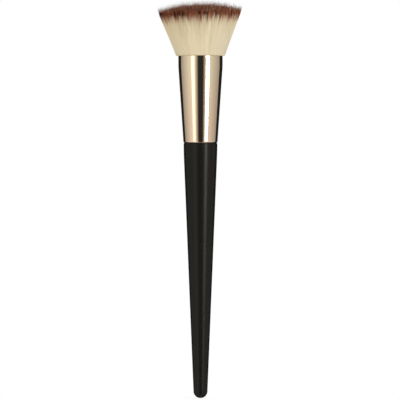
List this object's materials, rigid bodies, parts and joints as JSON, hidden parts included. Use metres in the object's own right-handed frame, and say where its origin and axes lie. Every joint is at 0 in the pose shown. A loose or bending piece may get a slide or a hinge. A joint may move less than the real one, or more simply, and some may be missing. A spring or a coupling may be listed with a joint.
{
  "type": "makeup brush",
  "caption": "Long-handled flat-top kabuki makeup brush: tapered black handle, tapered rose-gold ferrule and a dense flared tuft of pale fibres with dark tips, for buffing make-up onto skin.",
  "frame": {"origin": "on the brush's axis, in the straight collar at the ferrule's mouth, where a rack's ring holds the brush", "axes": "+Z along the brush's axis from the handle towards the tuft; +X to the right and +Y away from the viewer in the picture's view"},
  "size_m": [0.0338, 0.0338, 0.1633],
  "materials": {
    "lacquered_wood": "satin",
    "rose_gold_metal": "polished",
    "soft_fibre": "matte",
    "cured_glue": "gloss"
  },
  "bodies": {
    "root": {"handle": "lacquered_wood", "ferrule": "rose_gold_metal", "fibre_tuft": "soft_fibre", "root_glue_plug": "cured_glue", "tenon_glue_sleeve": "cured_glue"}
  },
  "joints": []
}
